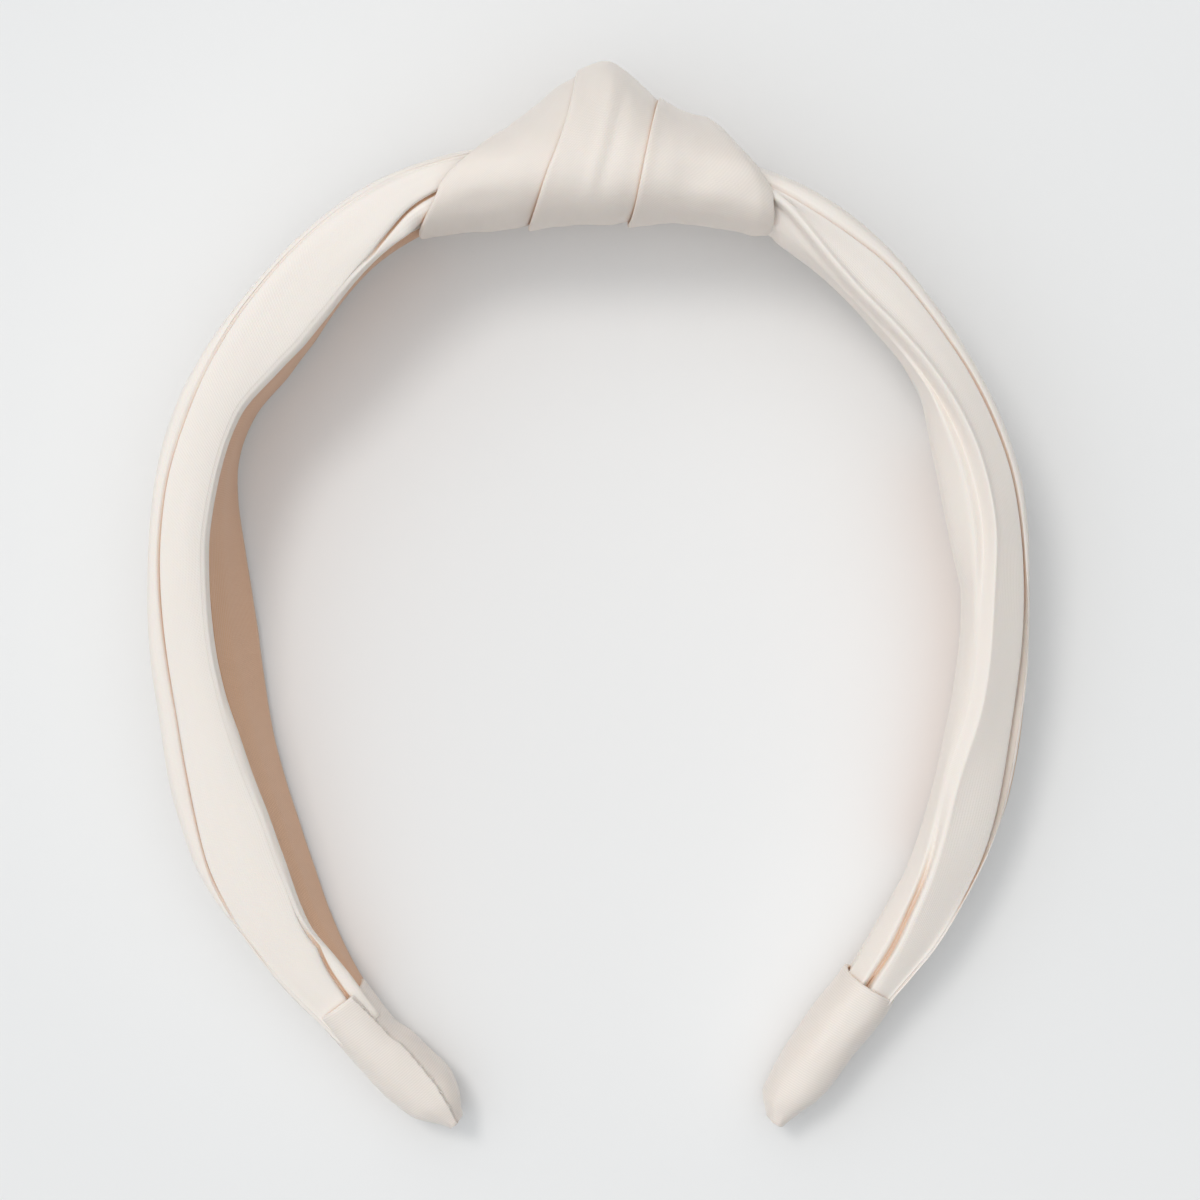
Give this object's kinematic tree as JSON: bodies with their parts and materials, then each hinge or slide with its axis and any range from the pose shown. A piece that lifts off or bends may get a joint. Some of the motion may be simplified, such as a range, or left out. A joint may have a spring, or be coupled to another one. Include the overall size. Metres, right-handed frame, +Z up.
{
  "type": "knotted headband",
  "caption": "Hard hoop headband covered in ivory satin, with a folded knot at the crown and covered tips, springing open at the legs.",
  "frame": {"origin": "centre of the bounding box, on the table that the headband lies on", "axes": "+Z up, towards the band's front edge; +Y towards the crown and its knot; +X towards the right leg"},
  "size_m": [0.1368, 0.1677, 0.0394],
  "materials": {
    "ivory_satin": "woven satin, soft sheen",
    "lining_ribbon": "fine lengthwise ribbed ribbon",
    "white_plastic": "plain moulded",
    "hot_melt_glue": "milky, smooth",
    "ivory_thread": "spun thread"
  },
  "bodies": {
    "crown": {"core_crown": "white_plastic", "lining_crown": "lining_ribbon", "glue_pad_knot": "hot_melt_glue", "knot_core": "ivory_satin", "knot_wrap_left": "ivory_satin", "knot_wrap_middle": "ivory_satin", "knot_wrap_right": "ivory_satin"},
    "left_leg": {"core_leg_left": "white_plastic", "lining_left": "lining_ribbon", "sleeve_left": "ivory_satin", "tip_cover_left": "ivory_satin", "tip_seam_left": "ivory_thread", "glue_pad_tip_left": "hot_melt_glue"},
    "right_leg": {"core_leg_right": "white_plastic", "lining_right": "lining_ribbon", "sleeve_right": "ivory_satin", "tip_cover_right": "ivory_satin", "tip_seam_right": "ivory_thread", "glue_pad_tip_right": "hot_melt_glue"}
  },
  "joints": [
    {"name": "left_flex", "type": "hinge", "parent": "crown", "child": "left_leg", "pos_m": [-0.03111, 0.06797, 0.01948], "axis": [0, 0.0906, -0.9959], "range_deg": [-3, 15], "stiffness_Nm_per_rad": 0.9},
    {"name": "right_flex", "type": "hinge", "parent": "crown", "child": "right_leg", "pos_m": [0.03188, 0.06715, 0.0194], "axis": [0, -0.0906, 0.9959], "range_deg": [-3, 15], "stiffness_Nm_per_rad": 0.9}
  ]
}
